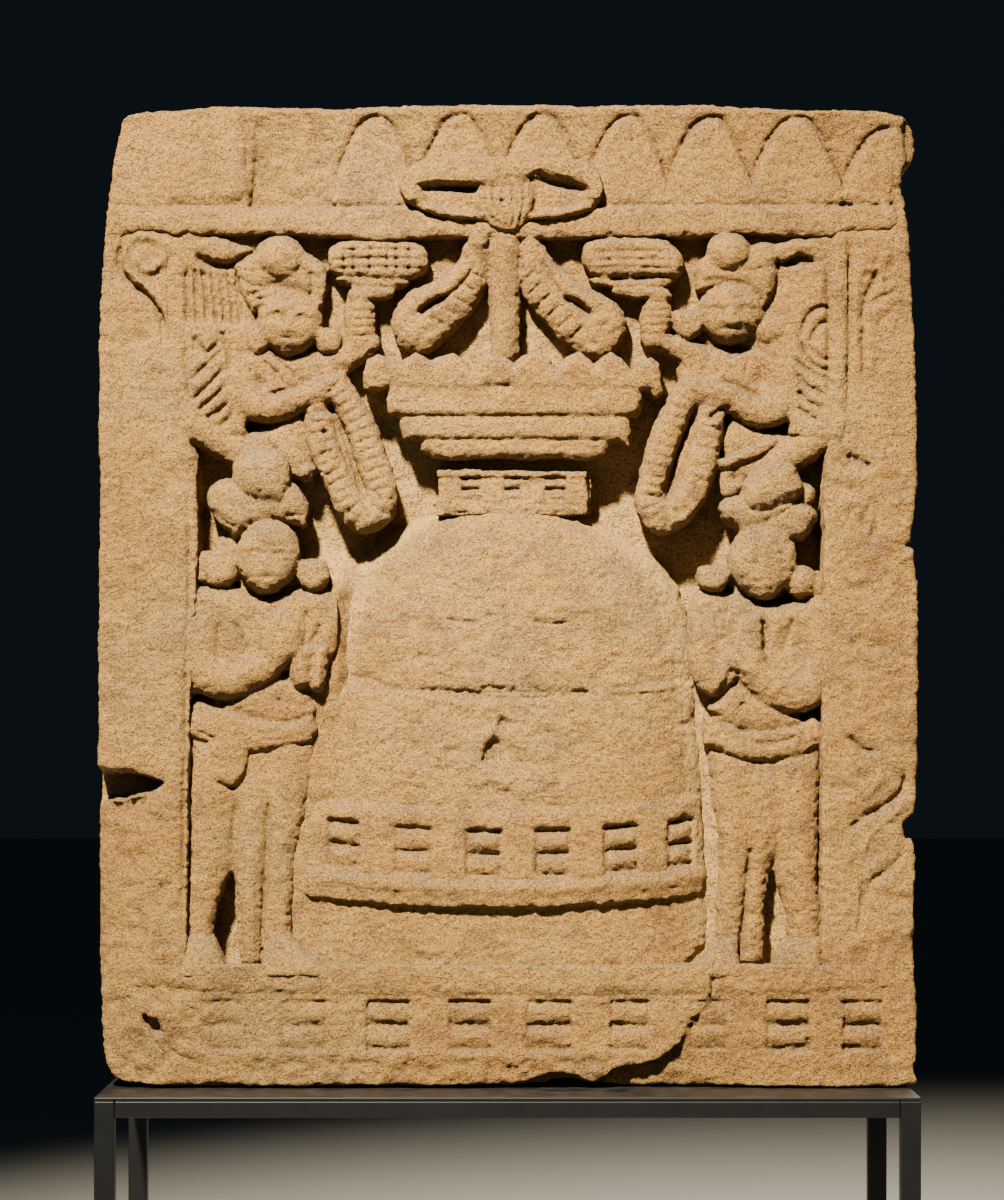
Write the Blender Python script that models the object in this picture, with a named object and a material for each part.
"""Carved sandstone relief slab with a stupa between worshippers, standing on a welded steel stand.

Sizes are in millimetres until a mesh is made. On the slab, x runs right from the centre line, z runs up
from the slab's foot, and depth runs back from the slab's front face, so a raised form has a small depth.
"""
import math

import bmesh
import bpy
from mathutils import Matrix, Vector

MM = 0.001
GAP = 0.3

# How far the roots of raised forms reach into the ground, and how far turned forms are set into it
ROOT = 8
SET_IN = 0.7

# Slab
SLAB_WIDTH = 670
SLAB_HEIGHT = 800
SLAB_DEPTH = 150
FIELD_LEFT, FIELD_RIGHT = -259, 258
FIELD_FOOT, FIELD_TOP = 94, 691
FIELD_DEPTH = 45
FRIEZE_DEPTH = 9
LINTEL_HEIGHT = 23
PETAL_PITCH = 68.5

# Stupa
STUPA_X = 1
DOME_RADIUS = 156
DOME_REACH = 45
DRUM_RADIUS = 171
DRUM_REACH = 37
BAND_REACH = 44
BAND_DIP = 10

# Stand
BAR = 16
RAIL_HEIGHT = 13
PLATE_THICKNESS = 3
STAND_WIDTH = 656
STAND_DEPTH = 300
STAND_HEIGHT = 400

# Fineness of the carved figures, and the distance under which two corners are one
FIGURE_VOXEL = 4.0
WELD = 0.02

FRONT = -SLAB_DEPTH / 2
FOOT = STAND_HEIGHT + GAP


def remove_everything():
    """Empty the scene."""
    for thing in list(bpy.data.objects):
        bpy.data.objects.remove(thing, do_unlink=True)


def place(x, z, depth):
    """A point of the slab in world metres."""
    return Vector((x, FRONT + depth, FOOT + z)) * MM


def finish_mesh(shape, name):
    """Turn a bmesh into a mesh whose faces point outwards."""
    bmesh.ops.recalc_face_normals(shape, faces=shape.faces)
    mesh = bpy.data.meshes.new(name)
    shape.to_mesh(mesh)
    shape.free()
    return mesh


def join_shapes(shapes):
    """Put several bmeshes into the first one."""
    joined = shapes[0]
    for extra in shapes[1:]:
        mesh = bpy.data.meshes.new("extra")
        extra.to_mesh(mesh)
        extra.free()
        joined.from_mesh(mesh)
        bpy.data.meshes.remove(mesh)
    return joined


def box(x0, x1, z0, z1, near, far, bevel=0.0):
    """A block between two x, two z and two depths, with its edges eased by the bevel."""
    shape = bmesh.new()
    bmesh.ops.create_cube(shape, size=1)
    low, high = place(min(x0, x1), z0, near), place(max(x0, x1), z1, far)
    bmesh.ops.scale(shape, vec=high - low, verts=shape.verts)
    bmesh.ops.translate(shape, vec=(low + high) / 2, verts=shape.verts)
    if bevel:
        bmesh.ops.bevel(
            shape, geom=shape.edges[:], offset=bevel * MM, segments=1, profile=0.5, affect="EDGES",
            material=-1,
        )
    return shape


def cut_out(outline, near, far, bevel=0.0, segments=1):
    """A flat shape: an outline of x and z on the near depth, carried back to the far depth."""
    shape = bmesh.new()
    corners = [shape.verts.new(place(x, z, near)) for x, z in outline]
    face = shape.faces.new(corners)
    swept = bmesh.ops.extrude_face_region(shape, geom=[face])["geom"]
    backs = [part for part in swept if isinstance(part, bmesh.types.BMVert)]
    bmesh.ops.translate(shape, vec=Vector((0, (far - near) * MM, 0)), verts=backs)
    if bevel:
        rim = [edge for edge in shape.edges if all(v in set(corners) for v in edge.verts)]
        bmesh.ops.bevel(
            shape,
            geom=rim,
            offset=bevel * MM,
            segments=segments,
            profile=0.5,
            affect="EDGES",
            material=-1,
        )
    return shape


def oval_points(x, z, near, across, up, through, tilt=0.0):
    """Points on an egg with its three half sizes, whose front is near; it is tilted by degrees."""
    cos, sin = math.cos(math.radians(tilt)), math.sin(math.radians(tilt))
    points = [(x, z, near)]
    for slope in (35, 65, 90):
        ring, fall = math.sin(math.radians(slope)), 1 - math.cos(math.radians(slope))
        for turn in range(0, 360, 36):
            u, v = across * ring * math.cos(math.radians(turn)), up * ring * math.sin(math.radians(turn))
            points.append((x + u * cos - v * sin, z + u * sin + v * cos, near + through * fall))
    return points


def carried_back(points):
    """The hull of points and of the same points moved back into the field's ground."""
    shape = bmesh.new()
    for x, z, depth in points:
        shape.verts.new(place(x, z, depth))
        shape.verts.new(place(x, z, FIELD_DEPTH + ROOT))
    hull = bmesh.ops.convex_hull(shape, input=shape.verts[:])
    spare = hull["geom_interior"] + hull["geom_unused"]
    inside = {part for part in spare if isinstance(part, bmesh.types.BMVert)}
    bmesh.ops.delete(shape, geom=list(inside), context="VERTS")
    return shape


def egg(x, z, near, across, up, through, tilt=0.0):
    """An egg-shaped swelling that stands on the ground."""
    return carried_back(oval_points(x, z, near, across, up, through, tilt))


def limb(*joints, bulge=0.85):
    """Shapes of a rounded limb through points of x, z, front and radius."""
    rounds = [oval_points(x, z, near, radius, radius, radius * bulge) for x, z, near, radius in joints]
    return [carried_back(start + end) for start, end in zip(rounds, rounds[1:])]


def raised(outline, near, ease=3.0):
    """A drawn form that stands on the ground, with its front edge eased."""
    return cut_out(outline, near, FIELD_DEPTH + ROOT, bevel=ease)


def turned(profile, centre_x, reach, wide, around=40, dip=0.0):
    """A form turned about an upright axis on the field's ground, from radius and height pairs.

    Depth is squeezed so that the widest radius reaches forward by reach, and dip lowers the front.
    """
    shape = bmesh.new()
    line = [shape.verts.new(Vector((radius, 0, height)) * MM) for radius, height in profile]
    edges = [shape.edges.new(pair) for pair in zip(line, line[1:])]
    bmesh.ops.spin(
        shape,
        geom=line + edges,
        cent=(0, 0, 0),
        axis=(0, 0, 1),
        angle=math.tau,
        steps=around,
        use_merge=True,
    )
    bmesh.ops.remove_doubles(shape, verts=shape.verts, dist=0.00001)
    bmesh.ops.holes_fill(shape, edges=[edge for edge in shape.edges if edge.is_boundary])
    bmesh.ops.scale(shape, vec=Vector((1, reach / wide, 1)), verts=shape.verts)
    for vert in shape.verts:
        vert.co.z += dip / reach * vert.co.y
    bmesh.ops.translate(shape, vec=place(centre_x, 0, FIELD_DEPTH + SET_IN), verts=shape.verts)
    return shape


def helper(name, shapes):
    """A hidden object that holds shapes for a Boolean."""
    thing = bpy.data.objects.new(name, finish_mesh(join_shapes(shapes), name))
    bpy.context.scene.collection.objects.link(thing)
    thing.hide_render = True
    thing.display_type = "WIRE"
    return thing


def melt(thing, triangles):
    """Melt a helper's overlapping shapes into one soft form with about this many triangles."""
    remesh = thing.modifiers.new("melt", "REMESH")
    remesh.mode = "VOXEL"
    remesh.voxel_size = FIGURE_VOXEL * MM
    ease = thing.modifiers.new("ease", "SMOOTH")
    ease.factor = 0.5
    ease.iterations = 2
    bpy.context.view_layer.update()
    graph = bpy.context.evaluated_depsgraph_get()
    evaluated = thing.evaluated_get(graph).to_mesh()
    faces = len(evaluated.polygons)
    thin = thing.modifiers.new("thin", "DECIMATE")
    thin.ratio = min(1.0, triangles / (2 * faces))


def combine(target, other, operation, name, overlapping=False):
    """Add a Boolean of the other object to the target."""
    boolean = target.modifiers.new(name, "BOOLEAN")
    boolean.object = other
    boolean.operation = operation
    boolean.solver = "EXACT"
    boolean.use_self = overlapping


def linked_faces(start):
    """All faces that share edges, one after another, with the first."""
    found, waiting = {start}, [start]
    while waiting:
        for edge in waiting.pop().edges:
            fresh = [face for face in edge.link_faces if face not in found]
            found.update(fresh)
            waiting += fresh
    return found


def sweep_crumbs(thing):
    """Apply the modifiers and keep only the main body, without the crumbs that the cutting leaves."""
    bpy.context.view_layer.update()
    graph = bpy.context.evaluated_depsgraph_get()
    shape = bmesh.new()
    shape.from_mesh(thing.evaluated_get(graph).to_mesh())
    bmesh.ops.remove_doubles(shape, verts=shape.verts, dist=WELD * MM)
    bmesh.ops.triangulate(shape, faces=shape.faces)
    bmesh.ops.dissolve_degenerate(shape, edges=shape.edges, dist=WELD * MM)
    biggest = max(shape.faces, key=lambda face: face.calc_area())
    body = linked_faces(biggest)
    bmesh.ops.delete(shape, geom=[face for face in shape.faces if face not in body], context="FACES")
    loose = [vert for vert in shape.verts if not vert.link_faces]
    bmesh.ops.delete(shape, geom=loose, context="VERTS")
    thing.modifiers.clear()
    shape.to_mesh(thing.data)
    shape.free()


def material(name, colour, roughness, metallic=0.0):
    """A plain material with the piece's own colour."""
    made = bpy.data.materials.new(name)
    made.use_nodes = True
    shader = made.node_tree.nodes["Principled BSDF"]
    shader.inputs["Base Color"].default_value = (*colour, 1)
    shader.inputs["Roughness"].default_value = roughness
    shader.inputs["Metallic"].default_value = metallic
    return made


def petal(left, width, top, foot=718):
    """Outline of one pointed leaf of the frieze."""
    middle = left + width / 2
    shoulder = foot + (top - foot) * 0.45
    return [
        (left, foot),
        (left + width, foot),
        (left + width, shoulder),
        (left + width * 0.86, foot + (top - foot) * 0.72),
        (left + width * 0.66, top - 5),
        (middle, top),
        (left + width * 0.34, top - 5),
        (left + width * 0.14, foot + (top - foot) * 0.72),
        (left, shoulder),
    ]


def railing_bay(centre, width, top, foot, near, floor):
    """The sunk openings of one bay: two bars are left standing between three slits."""
    step = (top - foot) / 8
    slits = [(top, top - step), (top - 3.5 * step, top - 4.5 * step), (foot + step, foot)]
    return [box(centre - width / 2, centre + width / 2, low, high, near, floor) for high, low in slits]


def slab_body():
    """The block with worn corners, its field, frieze and broken places sunk."""
    half = SLAB_WIDTH / 2
    outline = [
        (-half + 12, 0),
        (half - 8, 0),
        (half, 14),
        (half, SLAB_HEIGHT - 60),
        (half - 10, SLAB_HEIGHT - 14),
        (half - 26, SLAB_HEIGHT - 6),
        (60, SLAB_HEIGHT),
        (-half + 34, SLAB_HEIGHT - 6),
        (-half + 14, SLAB_HEIGHT - 24),
        (-half + 6, SLAB_HEIGHT - 90),
        (-half, SLAB_HEIGHT - 160),
        (-half, 36),
    ]
    return cut_out(outline, 0, SLAB_DEPTH, bevel=4)


def sunk_forms():
    """What is cut into the front of the block."""
    half = SLAB_WIDTH / 2
    top = SLAB_HEIGHT + 10
    shapes = [
        box(FIELD_LEFT, FIELD_RIGHT, FIELD_FOOT, FIELD_TOP, -10, FIELD_DEPTH),
        box(-half + 40, half + 20, FIELD_TOP + LINTEL_HEIGHT, top, -10, FRIEZE_DEPTH),
        cut_out([(-half - 10, 262), (-295, 258), (-281, 250), (-297, 238), (-half - 10, 234)], -10, 40),
        box(-half - 12, -293, 39, 240, -10, 16),
        cut_out([(168, 97), (164, 70), (146, 48), (141, 36), (127, 24), (90, 15), (70, -10), (360, -10),
                 (360, 24), (215, 24), (180, 30), (175, 60)], -10, 12),
    ]
    return shapes


def frame_forms():
    """Raised forms of the frame: lintel, petals, ledge and the strips on the borders."""
    foot, top = FIELD_TOP, FIELD_TOP + LINTEL_HEIGHT
    shapes = [
        box(-316, 315, foot, top + 2, -3, FIELD_DEPTH + 10, bevel=2),
        box(262, 277, 525, 690, -3, 20, bevel=2),
        box(-259, 162, 71, 94, -4, 30, bevel=2),
    ]
    lefts = [-276 + PETAL_PITCH * i for i in range(9)]
    for i, left in enumerate(lefts):
        width = 47 if i == 8 else 64
        shapes.append(cut_out(petal(left, width, 790), 3, 30, bevel=4))
    return shapes


def stupa_forms():
    """The stupa's solid: drum, railing band, dome, box, stepped tiers, pole and umbrella."""
    r = DOME_RADIUS
    drum = turned([(0, 80), (DRUM_RADIUS, 80), (172, 120), (170, 156), (0, 156)],
                  STUPA_X, DRUM_REACH, DRUM_RADIUS, dip=4)
    band = turned([(0, 150), (170, 150), (173, 155), (173, 168), (168, 176), (162, 234), (158, 240),
                   (0, 240)], STUPA_X, BAND_REACH, 168, dip=BAND_DIP)
    body = turned([(0, 225), (r, 225), (r, 300), (r - 2, 322), (0, 322)], STUPA_X, DOME_REACH - 1, r,
                  dip=BAND_DIP)
    dome_curve = [(0, 318), (154, 318), (154, 340), (151, 362), (146, 384), (140, 403), (128, 424),
                  (113, 438), (93, 453), (72, 463), (0, 465)]
    dome = turned(dome_curve, STUPA_X, DOME_REACH, 154, dip=BAND_DIP)
    tiers = [
        (-56, 65, 462, 504, 11),
        (-48, 56, 500, 516, 30),
        (-71, 84, 511, 527, 16),
        (-87, 100, 526, 546, 9),
        (-98, 110, 546, 566, 3.5),
        (-116, 125, 565, 586, -1.5),
    ]
    shapes = [drum, band, body, dome]
    shapes += [box(x0, x1, z0, z1, near, FIELD_DEPTH + 10, bevel=2) for x0, x1, z0, z1, near in tiers]
    pitch = (125 + 116) / 8
    for i in range(8):
        left = -116 + pitch * i
        point = [(left + 1, 582), (left + pitch - 1, 582), (left + pitch - 1, 588), (left + pitch / 2, 597),
                 (left + 1, 588)]
        shapes.append(raised(point, -1, 1))
    return shapes


def railing_cuts():
    """Slits of the three railings."""
    shapes = []
    for centre in (-232, -166, -97, -31, 34, 99, 163, 228, 288):
        shapes += railing_bay(centre, 36, 70, 32, -10, 12)
    for centre in (-29, 4, 37):
        shapes += railing_bay(centre, 18, 498, 477, 0, 16)
    for centre in (-133, -76, -18, 37, 92, 141):
        drop = (centre / DRUM_RADIUS) ** 2
        near = FIELD_DEPTH + SET_IN - BAND_REACH * math.sqrt(1 - drop)
        for low in (190, 206, 221):
            z = low - BAND_DIP * math.sqrt(1 - drop)
            shapes.append(box(centre - 14, centre + 14, z, z + 4, near - 12, near + 4))
    return shapes


def umbrella_forms():
    """Umbrella disc with its rim, bud, pole and two streamer loops."""
    disc = [(-88, 729), (-86, 742), (-77, 752), (-61, 756), (43, 756), (65, 752), (76, 741), (78, 726),
            (69, 711), (39, 706), (-26, 704), (-68, 712)]
    rim = [(-86, 721), (-88, 733), (-84, 745), (-73, 754), (-55, 756), (43, 756), (64, 753), (75, 742),
           (77, 723), (67, 723), (65, 731), (30, 745), (10, 731), (-78, 732), (-78, 721)]
    bud = [(-23, 731), (18, 731), (18, 716), (8, 699), (-9, 699), (-22, 713)]
    pole = [(-13, 703), (9, 703), (10, 599), (-1, 591), (-11, 598)]
    left_loop = [(-14, 699), (-35, 692), (-39, 674), (-52, 659), (-86, 641), (-95, 629), (-93, 612),
                 (-63, 592), (-45, 612), (-30, 629), (-16, 648)]
    right_loop = [(10, 699), (25, 694), (39, 673), (56, 659), (90, 639), (96, 625), (85, 605), (68, 591),
                  (38, 616), (10, 650)]
    return [
        raised(disc, -5),
        raised(rim, -10, 2),
        raised(bud, -10, 4),
        raised(pole, -1, 4),
        raised(left_loop, 1, 4),
        raised(right_loop, 1, 4),
        egg(-23, 694, -7, 7, 10, 8),
    ]


def left_flyer():
    """Flying figure at the upper left, with its wing, dish and garland."""
    wing = [(-276, 699), (-199, 699), (-188, 671), (-188, 604), (-209, 590), (-212, 530), (-238, 530),
            (-276, 526)]
    lap = [(-232, 526), (-199, 534), (-164, 552), (-158, 508), (-168, 496), (-220, 502)]
    chest = [(-217, 598), (-180, 603), (-144, 598), (-128, 578), (-138, 557), (-194, 547), (-217, 559)]
    neck = [(-199, 619), (-147, 619), (-147, 583), (-199, 583)]
    dish = [(-146, 669), (-139, 684), (-126, 688), (-84, 687), (-66, 679), (-65, 664), (-78, 655),
            (-136, 657)]
    saucer = [(-138, 660), (-79, 656), (-92, 648), (-95, 640), (-128, 640), (-131, 650)]
    turban = [(-220, 664), (-199, 679), (-165, 680), (-147, 666), (-148, 642), (-168, 643), (-199, 635),
              (-209, 630), (-217, 648)]
    shapes = [
        raised(wing, 6, 2),
        raised(lap, 13, 5),
        raised(chest, 8, 6),
        raised(neck, 16, 2),
        raised(dish, -3, 5),
        raised(saucer, 1.5, 2),
        raised(turban, -1.5, 5),
        egg(-175, 621, -4, 27, 29, 12),
        egg(-184, 673, -11, 20, 18, 14),
        egg(-144, 607, 3, 12, 12, 8),
        egg(-203, 609, 3.5, 12, 14, 8),
        egg(-163, 500, 9, 8, 9, 8),
    ]
    shapes += limb((-212, 588, 7, 13), (-215, 569, 5, 13), (-199, 553, 3, 13), (-138, 572, 4, 10))
    shapes += limb((-144, 586, 8, 14), (-111, 605, 4, 8))
    shapes += limb((-119, 604, 4, 13), (-119, 640, 1, 11))
    shapes += limb((-268, 536, 3, 14), (-212, 513, 8, 14))
    shapes += limb((-155, 552, 6, 10), (-149, 521, 3, 12), (-125, 470, 1, 12), (-105, 468, 1, 12),
                   (-109, 509, 1, 12), (-125, 549, 2, 12), (-144, 573, 5, 9))
    return shapes


def right_flyer():
    """Flying figure at the upper right, with its wing, dish and garland."""
    wing = [(275, 699), (189, 699), (189, 604), (225, 591), (229, 531), (247, 528), (275, 526)]
    lap = [(174, 526), (182, 546), (231, 530), (239, 513), (229, 499), (181, 484)]
    chest = [(137, 603), (169, 604), (223, 601), (233, 560), (226, 547), (156, 556)]
    neck = [(153, 624), (212, 624), (212, 593), (153, 593)]
    dish = [(60, 674), (65, 686), (90, 690), (125, 688), (142, 673), (135, 657), (67, 656)]
    saucer = [(67, 660), (137, 659), (130, 650), (130, 641), (88, 641), (83, 650)]
    turban = [(153, 660), (161, 677), (194, 681), (217, 668), (217, 648), (207, 634), (197, 647),
              (166, 650)]
    shapes = [
        raised(wing, 4, 2),
        raised(lap, 13, 5),
        raised(chest, 8, 6),
        raised(neck, 16, 2),
        raised(dish, -3, 5),
        raised(saucer, 1.5, 2),
        raised(turban, -1.5, 5),
        egg(181, 625, -4, 26, 27, 12),
        egg(179, 678, -11, 17.5, 17, 13),
        egg(210, 677, -2, 11, 9, 7),
        egg(213, 616, 3.5, 16, 13, 9),
        egg(146, 620, 3.5, 12, 12, 8),
    ]
    shapes += limb((223, 588, 7, 12), (225, 567, 5, 13), (208, 550, 3, 13), (155, 565, 3, 12))
    shapes += limb((154, 593, 8, 13), (117, 607, 4, 8))
    shapes += limb((121, 608, 3, 12), (122, 641, 1, 10))
    shapes += limb((268, 534, 3, 13), (220, 510, 8, 14))
    shapes += limb((168, 557, 5, 11), (161, 521, 3, 12), (142, 471, 1, 12), (121, 468, 1, 12),
                   (120, 502, 1, 12), (140, 556, 2, 12), (150, 569, 3, 12))
    return shapes


def left_worshipper():
    """Standing figure on the left with joined hands, and a pouch at the hip."""
    skirt = [(-263, 312), (-152, 312), (-154, 279), (-168, 213), (-173, 169), (-176, 120), (-199, 99),
             (-217, 99), (-222, 166), (-227, 169), (-238, 119), (-261, 119)]
    belt = [(-264, 305), (-233, 309), (-199, 297), (-157, 304), (-155, 291), (-191, 275), (-229, 278),
            (-264, 286)]
    belly = [(-232, 309), (-199, 335), (-178, 341), (-154, 305), (-180, 295), (-214, 301)]
    chest = [(-264, 405), (-229, 409), (-199, 400), (-144, 406), (-138, 372), (-154, 330), (-217, 320),
             (-264, 325)]
    neck = [(-217, 424), (-168, 424), (-168, 400), (-217, 393)]
    turban = [(-242, 483), (-225, 496), (-177, 494), (-162, 474), (-164, 455), (-183, 461), (-220, 448),
              (-240, 465)]
    topknot = [(-217, 513), (-193, 519), (-176, 507), (-178, 482), (-196, 474), (-220, 491)]
    left_foot = [(-264, 117), (-238, 123), (-227, 90), (-266, 90)]
    right_foot = [(-199, 115), (-177, 124), (-147, 96), (-147, 90), (-199, 90)]
    shapes = [
        raised(skirt, 12, 5),
        raised(belt, 8.5, 3),
        raised(belly, 9.5, 5),
        raised(chest, 7, 6),
        raised(neck, 17, 2),
        raised(turban, -0.5, 5),
        raised(topknot, -9, 6),
        raised(left_foot, 4, 4),
        raised(right_foot, 4, 4),
        egg(-193, 431, -5, 26, 32, 14),
        egg(-233, 422, 4, 14, 15, 8),
        egg(-158, 417, 4, 14, 14, 8),
        egg(-227, 265, 8, 18, 20, 7),
        egg(-182, 364, 1, 16, 26, 8),
    ]
    shapes += limb((-258, 393, 3.5, 16), (-248, 341, 1.5, 16), (-229, 330, 1, 14), (-191, 346, 0.5, 12))
    shapes += limb((-141, 387, 9, 12), (-168, 338, 4, 9))
    shapes += limb((-240, 267, 9, 18), (-245, 177, 9, 15), (-251, 116, 11, 12))
    shapes += limb((-178, 267, 9, 18), (-185, 193, 9, 13), (-187, 116, 11, 11))
    return shapes


def right_worshipper():
    """Standing figure on the right with joined hands, fuller in the body."""
    skirt = [(160, 299), (255, 297), (250, 203), (255, 117), (228, 117), (215, 180), (211, 99), (189, 99),
             (169, 119), (172, 198)]
    belt = [(160, 304), (193, 289), (233, 293), (256, 299), (255, 281), (212, 266), (160, 280)]
    belly = [(163, 309), (186, 331), (225, 310), (241, 299), (212, 288), (174, 296)]
    chest = [(150, 396), (163, 405), (207, 395), (254, 401), (263, 380), (261, 323), (205, 315), (156, 330)]
    neck = [(181, 422), (231, 422), (228, 393), (182, 393)]
    turban = [(172, 474), (192, 483), (229, 481), (251, 468), (237, 444), (197, 452), (174, 460)]
    topknot = [(191, 492), (205, 507), (228, 508), (239, 494), (234, 478), (199, 467)]
    left_foot = [(170, 122), (187, 122), (189, 90), (143, 90)]
    right_foot = [(216, 112), (228, 122), (254, 122), (256, 90), (212, 90)]
    shapes = [
        raised(skirt, 12, 5),
        raised(belt, 8, 3),
        raised(belly, 8.5, 5),
        raised(chest, 7, 6),
        raised(neck, 17, 2),
        raised(turban, -0.5, 5),
        raised(topknot, -9, 6),
        raised(left_foot, 4, 4),
        raised(right_foot, 4, 4),
        egg(205, 429, -5, 27, 32, 14),
        egg(167, 414, 4, 14, 11, 7),
        egg(241, 411, 3, 14, 15, 9),
        egg(197, 361, 0, 16, 28, 9),
    ]
    shapes += limb((257, 387, 3, 15), (254, 335, 1, 16), (233, 318, 0.5, 14), (199, 340, 0.5, 13))
    shapes += limb((159, 388, 8, 12), (161, 338, 3.5, 12), (184, 348, 1.5, 11))
    shapes += limb((185, 258, 9, 18), (184, 177, 9, 13), (179, 112, 11, 11))
    shapes += limb((233, 258, 9, 18), (237, 177, 9, 15), (241, 112, 11, 12))
    return shapes


def make_slab(stone):
    """Carve the slab: sink the field, then raise the frame, stupa and figures on it."""
    slab = bpy.data.objects.new("stone_slab", finish_mesh(slab_body(), "stone_slab"))
    bpy.context.scene.collection.objects.link(slab)
    slab.data.materials.append(stone)
    combine(slab, helper("sunk_forms", sunk_forms()), "DIFFERENCE", "sink", True)
    combine(slab, helper("frame_forms", frame_forms()), "UNION", "frame", True)
    combine(slab, helper("stupa_forms", stupa_forms()), "UNION", "stupa", True)
    combine(slab, helper("railing_cuts", railing_cuts()), "DIFFERENCE", "slits", True)
    figures = [
        ("umbrella", umbrella_forms(), 1000),
        ("left_flyer", left_flyer(), 1400),
        ("right_flyer", right_flyer(), 1400),
        ("left_worshipper", left_worshipper(), 1500),
        ("right_worshipper", right_worshipper(), 1500),
    ]
    for name, shapes, triangles in figures:
        figure = helper(name, shapes)
        melt(figure, triangles)
        combine(slab, figure, "UNION", name)
    sweep_crumbs(slab)
    return slab


def bar(name, size, centre, steel):
    """A straight bar of the stand with lightly eased edges."""
    shape = bmesh.new()
    bmesh.ops.create_cube(shape, size=1)
    bmesh.ops.scale(shape, vec=Vector(size) * MM, verts=shape.verts)
    bmesh.ops.bevel(
        shape, geom=shape.edges[:], offset=0.8 * MM, segments=2, profile=0.5, affect="EDGES", material=-1
    )
    thing = bpy.data.objects.new(name, finish_mesh(shape, name))
    thing.location = Vector(centre) * MM
    thing.data.materials.append(steel)
    bpy.context.scene.collection.objects.link(thing)
    return thing


def make_stand(steel):
    """Four legs, four rails between them and the plate on top."""
    leg_x = (STAND_WIDTH - BAR) / 2
    leg_y = (STAND_DEPTH - BAR) / 2
    leg_height = STAND_HEIGHT - PLATE_THICKNESS - GAP
    for across, side in ((-1, "left"), (1, "right")):
        for along, end in ((-1, "front"), (1, "back")):
            centre = (across * leg_x, along * leg_y, leg_height / 2)
            bar(f"leg_{end}_{side}", (BAR, BAR, leg_height), centre, steel)
    rail_z = leg_height - RAIL_HEIGHT / 2
    for along, end in ((-1, "front"), (1, "back")):
        length = STAND_WIDTH - 2 * (BAR + GAP)
        bar(f"rail_{end}", (length, BAR, RAIL_HEIGHT), (0, along * leg_y, rail_z), steel)
    for across, side in ((-1, "left"), (1, "right")):
        length = STAND_DEPTH - 2 * (BAR + GAP)
        bar(f"rail_{side}", (BAR, length, RAIL_HEIGHT), (across * leg_x, 0, rail_z), steel)
    plate_z = STAND_HEIGHT - PLATE_THICKNESS / 2
    bar("top_plate", (STAND_WIDTH, STAND_DEPTH, PLATE_THICKNESS), (0, 0, plate_z), steel)


def main():
    """Model the slab and its stand."""
    remove_everything()
    stone = material("sandstone", (0.50, 0.33, 0.17), 0.9)
    steel = material("black_steel", (0.02, 0.02, 0.022), 0.45)
    make_slab(stone)
    make_stand(steel)
    bpy.context.view_layer.update()


main()
